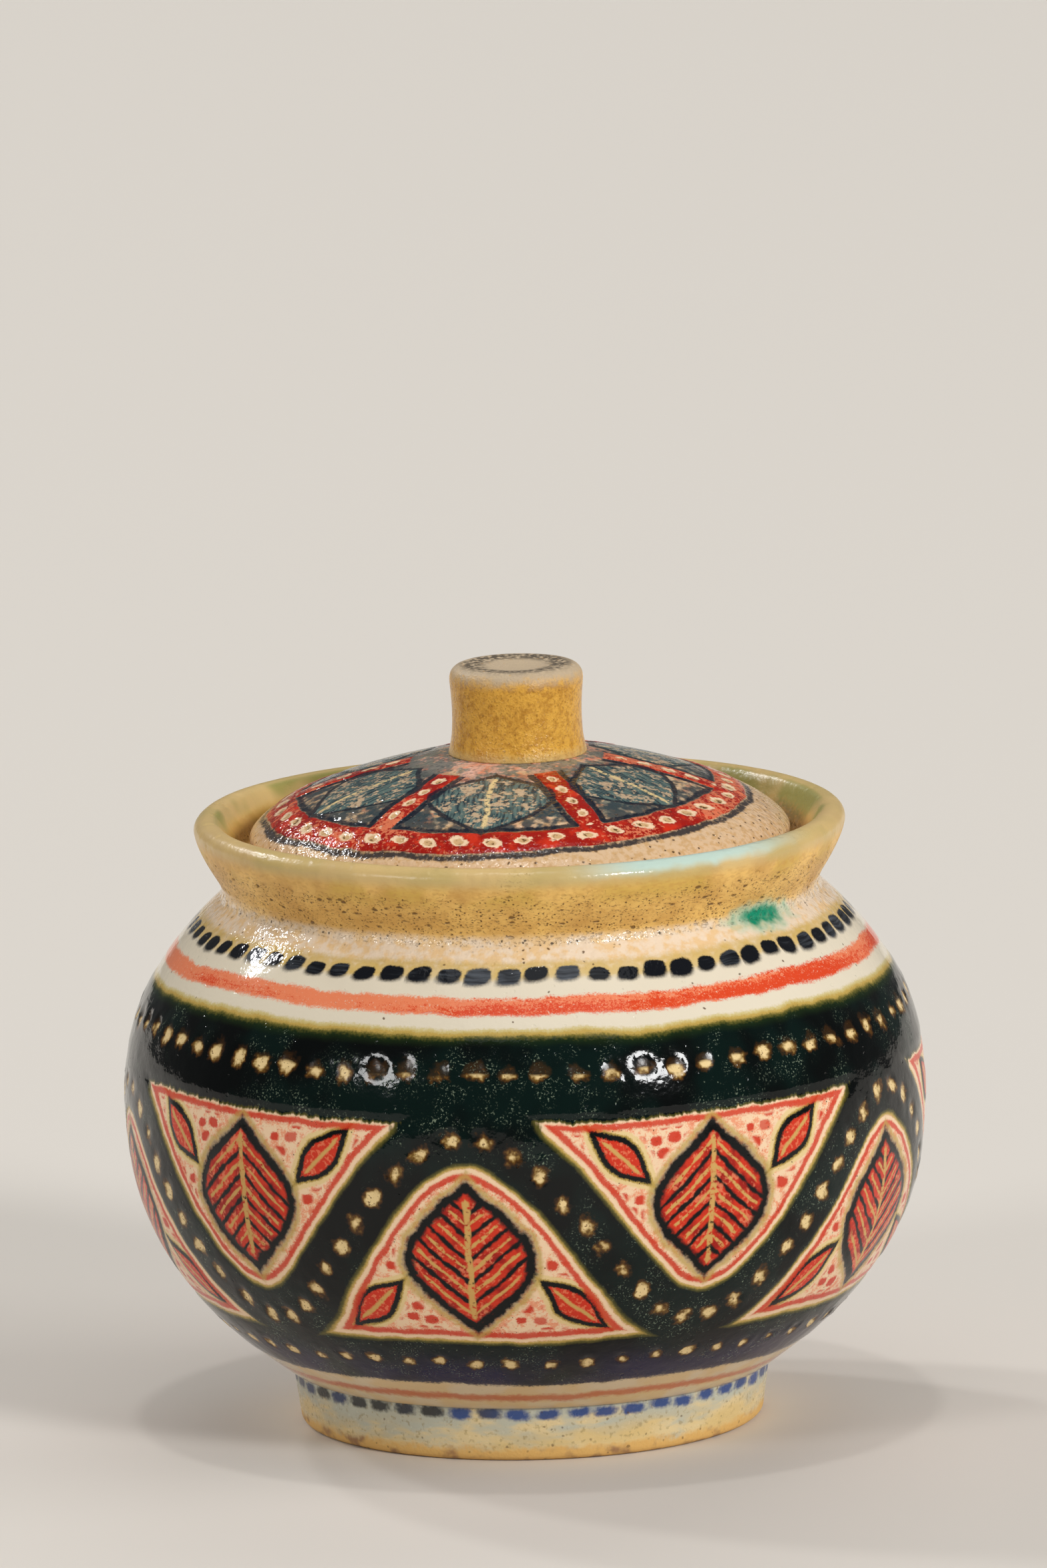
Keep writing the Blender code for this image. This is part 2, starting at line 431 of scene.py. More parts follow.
def coats(colour, *layers):
    """A colour under coats laid one after another, each given by its own colour and its mask."""
    for layer in layers:
        colour = over(colour, *layer)
    return colour


class Spot:
    """A point of a turned surface: its height, its radius and its turn from the front."""

    def __init__(self, height, radius, turn):
        self.height = height
        self.radius = radius
        self.turn = turn


def spot_at(place):
    """The spot of a place round the turning axis."""
    x, y, height = split(place)
    return Spot(height, root(x * x + y * y), calculate("ARCTAN2", x, -y))


def row_cell(turn, count, radius, shift=0.0):
    """The cell of a row round the wheel, and the distance along the row from the cell's middle."""
    phase = turn * (count / math.tau) + shift
    cell = floor_of(phase)
    along = (phase - cell - 0.5) * (radius * (math.tau / count))
    return cell % float(count), along


def fraction(value):
    """How far a value lies from the middle of its whole step, from -0.5 to 0.5."""
    return value - floor_of(value) - 0.5


def blob(along, across, half):
    """0 at the middle of a round dab and 1 at its edge."""
    u = along / half[0]
    v = across / half[1]
    return root(u * u + v * v)


def blunt_blob(along, across, half):
    """0 at the middle of a brush dab with blunt corners and 1 at its edge."""
    u = abs(along / half[0]) ** DAB_BLUNTNESS
    v = abs(across / half[1]) ** DAB_BLUNTNESS
    return (u + v) ** (1.0 / DAB_BLUNTNESS)


def dab_row(spot, count, middle, radius, half, lean, seed):
    """A row of brush dabs: the distances along and over the nearest dab, and its cell."""
    cell, along = row_cell(spot.turn, count, radius)
    across = spot.height - middle - (chance(cell, seed) - 0.5) * (half[1] * DAB_WANDER[1])
    along = along - across * lean - (chance(cell, seed + 1) - 0.5) * (half[0] * DAB_WANDER[0])
    spread = chance(cell, seed + 2) * DAB_SPREAD[1] + DAB_SPREAD[0]
    return along / spread, across / spread, cell


def dot_row(spot, half, **row):
    """Roundness of the nearest dot in a row."""
    along, across, _ = dab_row(spot, half=half, **row)
    return blob(along, across, half)


def leaf_edge(u, v, leaf):
    """Distance outside a leaf with pointed ends, given its half width and half height."""
    share = smaller(larger(v / leaf[1], -1.3), 1.3)
    square = share * share
    width = (1.0 - square * 1.35 + square * square * 0.35) * leaf[0]
    slope = share * (2.7 - square * 1.4) * (leaf[0] / leaf[1])
    return (abs(u) - width) / root(slope * slope + 1.0)


# Painting plan of the bowl, shared by its glaze and its relief

def strayed(place):
    """The place as the painter's hand found it."""
    return drifted(drifted(place, 22.0, 2.2, 1), 4.0, 1.0, 2)


class Vine:
    """The vine's wave near a spot: how far over its middle line, how far along, and the bay's own place."""

    def __init__(self, spot):
        phase = spot.turn * VINE_WAVES + VINE_SHIFT * math.tau
        over_middle = spot.height - VINE_MIDDLE
        slope = sine(phase) * (VINE_RISE * VINE_WAVES) / spot.radius
        drop = over_middle - cosine(phase) * VINE_RISE
        lean = root(slope * slope + 1.0)
        self.away = drop / lean
        foot = phase - self.away * slope / lean * VINE_WAVES / spot.radius
        self.along = (foot - sine(foot * 2.0) * VINE_STRETCH) / math.tau
        below = calculate("LESS_THAN", drop, 0.0)
        _, self.u = row_cell(spot.turn, VINE_WAVES, spot.radius, below * 0.5 + VINE_SHIFT)
        self.v = over_middle * (1.0 - below * 2.0) - LEAF_MIDDLE
        self.edge = larger(VINE_HALF - abs(self.away), abs(over_middle) - BAY_REACH)
        self.leaf = leaf_edge(self.u, self.v, LEAF)
        aside = abs(self.u) - LEAFLET_MIDDLE[0]
        rise = self.v - LEAFLET_MIDDLE[1]
        self.midrib = aside * math.cos(LEAFLET_LEAN) - rise * math.sin(LEAFLET_LEAN)
        length = aside * math.sin(LEAFLET_LEAN) + rise * math.cos(LEAFLET_LEAN)
        self.leaflet = leaf_edge(self.midrib, length, LEAFLET)


def bowl_dots(spot, vine):
    """Roundness of the nearest scraped dot on the dark ground."""
    along = fraction(vine.along * VINE_DOTS) * VINE_PITCH
    trail = blob(along, vine.away, VINE_DOT)
    return smaller(dot_row(spot, **UPPER_DOTS), dot_row(spot, **LOWER_DOTS), trail)


def ground_band(spot):
    """1 on the dark ground of the belly."""
    top = (GROUND_TOP + 0.5, GROUND_TOP - 0.6)
    foot = (GROUND_FOOT - 0.3, GROUND_FOOT + 0.4)
    return between(spot.height, foot, top)


def crater(roundness, place):
    """Relief of a scraped dot: a shallow cup with a swollen, broken rim."""
    cup = fade(roundness, 1.0, 0.2)
    rim = between(roundness, (0.6, 1.2), (2.0, 1.2)) * fade(noise(place, 1.6, 24), 0.38, 0.64)
    return (rim * 0.15 - cup * 0.28) * fade(noise(place, 5.0, 25), 0.3, 0.62)


def hand_turning(place, amount):
    """Slow unevenness of a hand-turned wall."""
    return (noise(place, 38.0, 21) - 0.5) * amount + (noise(place, 5.0, 22) - 0.5) * (amount * 0.12)


def bowl_relief(place):
    """Height of the bowl's painted surface over its outline."""
    spot = spot_at(strayed(place))
    vine = Vine(spot)
    dark = ground_band(spot) * fade(vine.edge, -0.2, 0.6)
    dots = crater(bowl_dots(spot, vine), place) * dark
    lines = band(vine.edge, 0.0, 0.4, 0.35) * ground_band(spot) + band(vine.leaf, 0.6, 0.5, 0.35)
    leaflets = fade(vine.leaflet, 0.6, -0.6) * fade(vine.edge, 0.0, -0.8) * 0.15
    painted = dots + dark * ((noise(place, 3.2, 23) - 0.5) * 0.16 + 0.1) - lines * 0.14 + leaflets
    outside = fade(spot.radius, 37.0, 39.5)
    return (painted + hand_turning(place, 0.5)) * outside


# Painting plan of the lid, and the relief of the smaller pieces

def lid_spot(place):
    """Where a place lies round the middle of the lid's painting, which is set off the turning axis."""
    x, y, height = split(drifted(strayed(place), 12.0, 1.6, 3))
    return spot_at(joined(x - LID_PAINT_MIDDLE[0], y - LID_PAINT_MIDDLE[1], height))


def lid_plan(spot):
    """The lid's painted shapes: red bands, their dots, navy lines, leaf edges and places over the leaves."""
    over_ring = spot.radius - LID_RING[0]
    ring = band(over_ring, 0.0, LID_RING[1], 0.3)
    _, along = row_cell(spot.turn, LID_SPOKES, spot.radius, LID_SPOKE_SHIFT)
    start, end = LID_SPOKE_REACH
    reach = between(spot.radius, (start - 0.5, start + 0.5), (end + 0.5, end - 0.5))
    spoke = fade(abs(along), LID_SPOKE_HALF + 0.3, LID_SPOKE_HALF - 0.3) * reach
    cell, ring_along = row_cell(spot.turn, LID_RING_DOTS, LID_RING[0])
    ring_across = over_ring - (chance(cell, 31) - 0.5) * 0.5
    ring_dots = blob(ring_along - ring_across * 0.4, ring_across, LID_RING_DOT)
    spoke_across = fraction(spot.radius / LID_SPOKE_PITCH) * LID_SPOKE_PITCH
    spoke_dots = blob(along, spoke_across, LID_SPOKE_DOT) + (1.0 - spoke) * 3.0
    _, sector = row_cell(spot.turn, LID_SPOKES, spot.radius, LID_SPOKE_SHIFT + 0.5)
    leaf = leaf_edge(sector, spot.radius - LID_LEAF_MIDDLE, LID_LEAF)
    spoke_lines = band(abs(along), LID_SPOKE_HALF + LID_LINE_HALF, LID_LINE_HALF, 0.3) * reach
    ring_lines = band(abs(over_ring), LID_RING[1] + LID_LINE_HALF, LID_LINE_HALF, 0.5)
    navy = larger(spoke_lines * (1.0 - ring), ring_lines * (1.0 - spoke), band(leaf, 0.0, 0.5, 0.35))
    return larger(ring, spoke), smaller(ring_dots, spoke_dots), navy, leaf, sector


def lid_relief(place):
    """Height of the lid's surface over its outline."""
    spot = lid_spot(place)
    red, dots, navy, _, _ = lid_plan(spot)
    painted = red * 0.12 + crater(dots, place) * red * 0.7 - navy * 0.12
    return painted + hand_turning(place, 0.45)


def rolled_out(place):
    """A place on the collar, shortened along the turning direction, so that marks there are drawn out."""
    spot = spot_at(place)
    return joined(spot.turn * SCAR_DRAW, spot.height, spot.radius)


def collar_relief(place):
    """Drawn-out scars and slow unevenness of the collar."""
    return hand_turning(place, 0.35) - specks(rolled_out(place), reach=0.36, **SCARS) * 0.16


def knob_relief(place):
    """Slow unevenness of the knob."""
    return hand_turning(place, 0.3)


def foot_relief(place):
    """Unevenness of the foot ring's outer side; the track that it stands on stays flat."""
    spot = spot_at(place)
    return hand_turning(place, 0.4) * fade(spot.height, 1.0, 3.0) * fade(spot.radius, 35.0, 36.5)


def flange_relief(place):
    """Fine turning ridges on bare clay."""
    spot = spot_at(drifted(place, 6.0, 0.8, 4))
    return sine(spot.height * 5.0) * 0.03


# Finishes. A noise takes its grain in millimetres, its seed and its detail; specks take their pitch, their
# reach as a share of the pitch, the share of them that is kept, and their seed.

def finish(glaze, depth, mirror=0.5):
    """A material named after its glaze. The fine surface stands depth millimetres where its height is 1, and
    mirror says how strongly it shines."""
    material = bpy.data.materials.new(glaze.__name__)
    material.use_nodes = True
    tree = material.node_tree
    colour, roughness, height = glaze(in_millimetres(out(add_node(tree, "ShaderNodeTexCoord"), "Object")))
    bump = add_node(tree, "ShaderNodeBump", {"Distance": depth * MM, "Height": height})
    shader = tree.nodes["Principled BSDF"]
    plug(shader.inputs["Base Color"], colour)
    plug(shader.inputs["Roughness"], roughness)
    plug(shader.inputs["Specular IOR Level"], mirror)
    plug(shader.inputs["Normal"], out(bump))
    return material


def orange_peel(place):
    """Fine lumps of a salt-fired glaze."""
    return noise(place, 1.5, 41, 1.0) + noise(place, 0.5, 42, 1.0) * 0.35


def dot_cream_shown(spot):
    """1 where a dot of the upper row shows its cream and 0 where it is dark over its upper part; more of it
    shows on some dots and towards the sides.
    """
    _, across, cell = dab_row(spot, **UPPER_DOTS)
    level = chance(cell, 14) * 1.5 - 0.8 + fade(abs(spot.turn), 0.35, 0.75) * 0.7
    under_row = fade(spot.height, UPPER_DOTS["middle"] - 3.4, UPPER_DOTS["middle"] - 4.4)
    return larger(fade(across, level + 0.35, level - 0.35), under_row)


def neck_coat(place):
    """Beige neck, curdled paler by the salt."""
    curd = noise(place, 1.3, 58, 3.0) + (noise(place, 6.0, 52) - 0.5) * 0.7
    return over(SHOULDER_BEIGE, NECK_PALE, fade(curd, 0.36, 0.6) * 0.85)


def dash_layer(spot, powder):
    """The row of dark dashes: their ink and where it lies, softer along the lower edge."""
    along, across, cell = dab_row(spot, **DASH_ROW)
    dash = blunt_blob(along, across, DASH_ROW["half"]) + powder * 0.3
    brushed = noise(joined(spot.turn * 12.0, spot.height * 3.0, 0.0), 1.0, 54)
    ink = over(DASH_BLACK, DASH_SLATE, fade(chance(cell, 8) * 0.6 + (brushed - 0.35) * 0.9, 0.35, 1.0))
    wet_edge = fade(across, 0.3, -1.0) * 0.3 + 0.14
    return ink, fade(dash, wet_edge + 1.0, 1.0 - wet_edge * 0.6)


def stripe_layer(spot, place, height, powder):
    """The red stripe: its colour, paler on the left and along its upper side, and where it lies."""
    grain = noise(joined(spot.turn * 30.0, spot.height * 2.2, 0.0), 1.0, 56, 3.0) - 0.5
    grit = noise(place, 0.2, 57, 1.0) - 0.5
    faded = noise(place, 24.0, 55) + grain * 0.5 + powder * 0.4 + grit * 0.6
    faded = faded - fade(spot.turn, 0.2, 0.9) * 0.22
    faded = faded + fade(height, RED_STRIPE[0] - 0.3, RED_STRIPE[0] + 0.9) * 0.16 - 0.04
    shore = height + grain * 0.8 + grit * 0.8
    lies = band(shore, *RED_STRIPE, 0.3) * fade(powder, 0.34, 0.1)
    return over(STRIPE_RED, CORAL, fade(faded, 0.27, 0.52)), lies


def shoulder_coat(spot, place):
    """Beige neck and cream shoulder, with gold over the dashes, a red stripe and an ochre line."""
    powder = noise(place, 0.32, 51, 2.0) - 0.5
    height = spot.height + powder * 0.7
    _, beat = row_cell(spot.turn, DASH_ROW["count"], DASH_ROW["radius"])
    halo = blob(beat, height - DASH_ROW["middle"], DASH_ROW["half"])
    above_dashes = fade(height, DASH_ROW["middle"] - 0.9, DASH_ROW["middle"] + 0.1)
    gold = larger(band(height, *GOLD_LINE, 0.6), fade(halo, 2.0, 1.3) * above_dashes)
    neck_pits = specks(place, 1.2, 0.2, 0.6, 16) * fade(height, COLLAR_FOOT - 3.1, COLLAR_FOOT - 0.5)
    return coats(
        CREAM,
        (neck_coat(place), fade(height, *NECK)),
        (WARM_HALO, gold * (noise(place, 3.5, 53) * 0.8 + 0.4)),
        (SPECK_BROWN, larger(specks(place, 1.9, 0.15, 0.5, 6), neck_pits) * 0.85),
        dash_layer(spot, powder),
        stripe_layer(spot, place, height, powder),
        (OCHRE_PALE, fade(height, OCHRE_LINE + 0.7, OCHRE_LINE + 0.1)),
        (OCHRE_YELLOW, fade(height, OCHRE_LINE + 0.2, OCHRE_LINE - 0.3)),
        (OLIVE, fade(height, OCHRE_LINE - 0.3, OCHRE_LINE - 0.9)),
    )


def ground_coat(spot, place):
    """Black-green ground, violet near the foot, with pale crystals in its thin parts."""
    thin = fade(noise(place, 11.0, 61) + fade(spot.height, 52.0, 34.0) * 0.06, 0.42, 0.62)
    crystals = fade(noise(place, 0.34, 64, 2.0), 0.56, 0.7) * fade(noise(place, 3.5, 63), 0.44, 0.6)
    return coats(
        GROUND_BLACK,
        (GROUND_GREEN, thin * 0.55),
        (GROUND_VIOLET, fade(spot.height, 22.5, 16.0) * fade(noise(place, 14.0, 62), 0.3, 0.6)),
        (PALE_SPECK, larger(crystals, specks(place, 1.1, 0.16, 0.4, 7)) * thin * 0.55),
        (MOSS, fade(spot.height, GROUND_TOP - 1.6, GROUND_TOP + 0.3)),
    )


def bay_dabs(vine, rough):
    """1 on the red dabs that fill a bay, clear of its leaf, its leaflets and its rim."""
    row = floor_of(vine.v / BAY_DAB_PITCH[1])
    along = vine.u / BAY_DAB_PITCH[0] + (row % 2.0) * 0.5
    cell = floor_of(along) + row * 31.0
    u = fraction(along) + (chance(cell, 13) - 0.5) * 0.3
    v = fraction(vine.v / BAY_DAB_PITCH[1]) + (chance(cell, 14) - 0.5) * 0.3
    dab = blunt_blob(u, v, BAY_DAB) / (chance(cell, 12) * 0.5 + 0.75) + rough * 1.2
    clear = smaller(fade(vine.leaf, 2.3, 3.1), fade(vine.edge, -1.9, -2.6), fade(vine.leaflet, 1.7, 2.4))
    return fade(dab, 1.2, 0.75) * clear * fade(chance(cell, 15), 0.1, 0.3)


def leaflet_coat(colour, edge, midrib, powder):
    """A small red leaf with an incised midrib and a dark outline, in a cream ring."""
    return coats(
        colour,
        (DOT_CREAM, fade(edge, 1.7, 1.3)),
        (OCHRE_YELLOW, fade(edge, 0.95, 0.65)),
        (GROUND_BLACK, fade(edge, 0.7, 0.3)),
        (over(RED, CORAL, fade(powder, 0.5, 0.62) * 0.6), fade(edge, -0.25, -0.6)),
        (VEIN_GOLD, fade(abs(midrib), 0.5, 0.15) * fade(edge, -0.7, -1.1)),
    )


def bay_coat(vine, place):
    """Cream bays with powdery red brushing, red dabs and leaflets, a red line and an ochre rim."""
    powder = noise(place, 0.6, 71, 2.0)
    grit = noise(place, 0.22, 70, 1.0) - 0.5
    rough = (powder - 0.5) * 0.6 + grit * 0.6
    brushed = fade(noise(place, 1.7, 72, 3.0) + (powder - 0.5) * 0.5 + grit * 0.5, 0.46, 0.66)
    colour = coats(PANEL_CREAM, (CORAL, brushed * 0.75), (RED, bay_dabs(vine, rough) * 0.95))
    colour = leaflet_coat(colour, vine.leaflet + rough * 0.8, vine.midrib + rough * 0.5, powder)
    return coats(
        colour,
        (RED, band(vine.edge + rough, -1.35, 0.55, 0.3) * 0.9),
        (SPECK_BROWN, specks(place, 0.8, 0.2, 0.5, 9) * fade(noise(place, 7.0, 73), 0.42, 0.6)),
        (PANEL_CREAM, band(vine.edge + rough * 0.5, -0.4, 0.35, 0.25)),
        (OCHRE_YELLOW, fade(vine.edge + rough * 0.5, -0.25, 0.15)),
    )


def leaf_coat(colour, vine, place):
    """A red leaf with dark and incised veins inside a dark outline."""
    powder = noise(place, 0.6, 76, 2.0)
    edge = vine.leaf + (powder - 0.5) * 0.9 + (noise(place, 3.0, 78) - 0.5) * 1.3
    vein = fraction((vine.v + abs(vine.u) * LEAF_VEIN_RISE) / LEAF_VEIN_PITCH) * LEAF_VEIN_PITCH
    stroke = abs(vein) + (noise(place, 1.3, 79) - 0.5) * 1.3
    flesh = coats(
        RED,
        (DEEP_RED, fade(noise(place, 2.5, 74), 0.45, 0.65)),
        (CORAL, fade(powder + noise(place, 4.0, 75) - 0.5, 0.54, 0.7) * 0.7),
    )
    thick = noise(place, 2.0, 77) * 0.9 - 0.14
    cut_vein = fade(abs(vein), thick + 0.2, thick - 0.15)
    cut_midrib = fade(abs(vine.u), thick + 0.35, thick)
    incised = larger(cut_vein, cut_midrib) * fade(edge, -0.9, -1.3) * fade(powder, 0.3, 0.48)
    return coats(
        colour,
        (OCHRE_YELLOW, band(edge, 1.6, 0.45, 0.5) * 0.8),
        (GROUND_BLACK, fade(edge, 1.6, 0.6)),
        (flesh, fade(edge, -0.1, -0.9) * fade(stroke, 1.75, 1.2)),
        (VEIN_GOLD, incised),
    )


def dot_coat(colour, roundness, shown, place):
    """Scraped dots: cream clay, dark over the upper part of the upper row's cups."""
    luck = noise(place, 3.2, 81)
    ragged = roundness + (noise(place, 0.9, 82) - 0.5) * 1.1 + (luck - 0.42) * 2.0
    return coats(
        colour,
        (DOT_BROWN, fade(ragged, 1.3, 0.8) * (shown * 0.6 + 0.25)),
        (DOT_OCHRE, fade(ragged, 1.0, 0.6) * shown * 0.9),
        (DOT_CREAM, fade(ragged, 0.85, 0.4) * shown),
        (DOT_BROWN, fade(noise(place, 0.45, 90), 0.58, 0.68) * fade(ragged, 1.0, 0.7) * 0.8),
    )


def foot_bands(spot, place):
    """Grey-white bottom of the bowl with a thin rust stripe."""
    powder = (noise(place, 0.7, 83) - 0.5) * 0.9
    return coats(
        GREY_WHITE,
        (CREAM, fade(noise(place, 6.0, 84), 0.4, 0.62) * 0.5),
        (RUST, band(spot.height + powder, *RUST_STRIPE, 0.45) * 0.85),
    )


def copper_splash(colour, spot, place):
    """A green splash of copper under the collar, off to the right."""
    along = (spot.turn - COPPER_SPLASH["turn"]) * COPPER_SPLASH["radius"]
    run = blob(along, spot.height - COPPER_SPLASH["middle"], COPPER_SPLASH["half"])
    run = run + (noise(place, 2.2, 85) - 0.5) * 1.4
    return coats(
        colour,
        (COPPER_HALO, fade(run, 1.5, 0.7) * 0.75),
        (COPPER_GREEN, fade(run, 1.05, 0.3) * (noise(place, 1.2, 88) * 0.8 + 0.6)),
    )


def painted_glaze(place):
    """The bowl's painted outside."""
    spot = spot_at(strayed(place))
    vine = Vine(spot)
    low_spot = Spot(spot.height + DOT_DROP, spot.radius, spot.turn)
    cups = bowl_dots(low_spot, Vine(low_spot))
    powder = noise(place, 0.45, 86) - 0.5
    dark = fade(spot.height + powder, GROUND_TOP + 0.5, GROUND_TOP - 0.5)
    pale_foot = fade(spot.height + powder, GROUND_FOOT + 0.3, GROUND_FOOT - 0.3)
    drips = noise(joined(spot.turn * 90.0, spot.height * 0.16, 0.0), 1.0, 89) * fade(spot.height, *DRIPS)
    shore = vine.edge + powder * 0.35 + drips * 2.4
    bay = fade(shore, 0.6, 0.1)
    ground = over(ground_coat(spot, place), OLIVE, fade(shore, 1.1, 0.5) * 0.6)
    ground = dot_coat(ground, cups, dot_cream_shown(low_spot), place)
    belly = over(ground, leaf_coat(bay_coat(vine, place), vine, place), bay)
    shoulder = copper_splash(shoulder_coat(spot, place), spot, place)
    colour = coats(shoulder, (belly, dark), (foot_bands(spot, place), pale_foot))
    dry = larger(bay * dark, fade(cups, 1.0, 0.6) * dark)
    roughness = dry * 0.14 + (noise(place, 3.0, 87) - 0.5) * 0.08 + 0.09
    lumps = orange_peel(place) * (fade(spot.height, 81.0, 85.5) * 3.5 + 1.0)
    return colour, roughness, lumps - specks(place, 1.6, 0.22, 0.35, 9) * 0.8


def liner_glaze(place):
    """Honey-coloured glaze inside the bowl, with soft turning rings."""
    spot = spot_at(drifted(place, 12.0, 1.2, 5))
    rings = sine(spot.height * 1.6) * 0.5 + 0.5
    colour = coats(
        LINER,
        (LINER_DEEP, fade(noise(place, 9.0, 91) + rings * 0.12, 0.42, 0.72)),
        (SPECK_BROWN, specks(place, 2.2, 0.2, 0.5, 10) * 0.8),
    )
    return colour, noise(place, 4.0, 92) * 0.12 + 0.2, orange_peel(place) + rings * 1.2


def bare_clay(place):
    """Unglazed buff stoneware with turning rings and grog."""
    spot = spot_at(drifted(place, 9.0, 1.0, 6))
    rings = sine(spot.radius * 4.2 + spot.height * 3.0) * 0.5 + 0.5
    grog = specks(place, 1.4, 0.26, 0.4, 11)
    colour = coats(
        BUFF,
        (BUFF_DEEP, fade(noise(place, 5.0, 93, 3.0) + rings * 0.1, 0.45, 0.7)),
        (SPECK_BROWN, grog * 0.7),
    )
    return colour, noise(place, 2.0, 95) * 0.3 + 0.62, noise(place, 0.4, 94, 3.0) + (rings - grog) * 0.8


def collar_pits(spot, place, rolled):
    """1 in the collar's pits, which are drawn out by the turning and thin out towards the lip."""
    dense = fade(spot.height, COLLAR_TOP - 3.0, COLLAR_TOP - 8.5) * 0.42 + noise(place, 5.0, 104) * 0.6
    fine_pits = fade(noise(rolled, 0.24, 106, 2.0), 0.58, 0.7) * 0.6
    holes = larger(specks(place, 0.66, 0.3, 0.5, 5), specks(rolled, reach=0.31, **SCARS))
    return larger(fine_pits, holes) * fade(dense, 0.34, 0.56)


def aqua_run(spot, edge):
    """1 on the run of pale aqua glaze over the lip, on the right of the front."""
    along = between(spot.turn, (0.1, 0.4), (1.15, 0.7))
    level = spot.height + edge - spot.turn * 0.8
    return along * fade(level, COLLAR_TOP - 2.8, COLLAR_TOP - 1.1) * fade(spot.radius, 47.6, 49.0)


def ochre_glaze(place):
    """The collar's pitted ochre, with a pale aqua run on its lip, greenish patches, and painted shade in
    brown down its inner wall.
    """
    spot = spot_at(place)
    rolled = rolled_out(place)
    pits = collar_pits(spot, place, rolled)
    mottle = noise(place, 5.0, 101, 3.0)
    edge = (noise(place, 3.0, 103) - 0.5) * 1.6
    low = fade(spot.height, COLLAR_TOP - 4.0, COLLAR_FOOT + 0.9)
    high = fade(spot.height, COLLAR_TOP - 8.0, COLLAR_TOP - 4.5)
    lip = fade(spot.height, COLLAR_TOP - 4.2, COLLAR_TOP - 1.8)
    inside = fade(spot.radius, *GALLERY_RADII) * fade(spot.height, COLLAR_TOP - 7.0, COLLAR_TOP - 6.0)
    # Painted shade: brown on the collar's inner wall, from below the lip down into the gallery.
    painted_gallery_shade = fade(spot.height + mottle, COLLAR_TOP - 2.0, COLLAR_TOP - 4.8) * inside
    skirt = fade(spot.height + edge * 0.5, COLLAR_FOOT + 0.8, COLLAR_FOOT - 0.6)
    wet = fade(spot.height, COLLAR_FOOT + 1.9, COLLAR_FOOT + 0.5)
    run = aqua_run(spot, edge)
    colour = coats(
        OCHRE,
        (OCHRE_DEEP, fade(mottle + low * 0.12, 0.36, 0.76) * 0.8),
        (LIP_GOLD, high * fade(noise(place, 9.0, 105), 0.44, 0.62) * 0.6),
        (LIP_YELLOW, lip * 0.75),
        (LIP_GREEN, fade(noise(place, 14.0, 102), 0.44, 0.58) * larger(inside, lip * 0.25) * 0.85),
        # Painted shade on the inner wall.
        (KNOB_BROWN, painted_gallery_shade * 0.75),
        (OCHRE_DEEP, fade(noise(rolled, 0.5, 98, 3.0), 0.46, 0.64) * (1.0 - lip) * 0.5),
        (PIT_BROWN, pits * (1.0 - lip * 0.85) * 0.9),
        (neck_coat(place), skirt * 0.9),
        (SOOT, specks(place, 1.2, 0.24, 0.6, 16) * skirt * 0.9),
    )
    colour = copper_splash(colour, spot_at(strayed(place)), place)
    colour = over(colour, AQUA, run * 0.9)
    roughness = 0.4 - run * 0.28 - lip * 0.1 + (mottle - 0.5) * 0.15 - wet * 0.29
    return colour, roughness, orange_peel(place) * (skirt * 3.5 + 1.3) - pits * 3.0


def lid_wash(spot, sector, place, grit):
    """Blue-green wash of the lid's leaves, worn through to the beige."""
    stroke = noise(joined(sector * 2.2, spot.radius * 0.35, 0.0), 1.0, 114)
    return coats(
        LID_WASH,
        (LID_DARK_WASH, fade(stroke, 0.4, 0.62)),
        (LID_BEIGE, fade(grit + noise(place, 2.0, 115), 0.5, 0.66) * 0.75),
    )


def lid_red(spot, place, grit, worn):
    """Red of the lid's bands, deep in places and faded on the right."""
    faded = grit * 1.4 + worn + fade(spot.turn, 0.4, 1.4) * 0.12
    return coats(
        RED,
        (DEEP_RED, fade(noise(place, 3.0, 116), 0.34, 0.52)),
        (CORAL, fade(faded, 0.56, 0.7) * 0.75),
    )


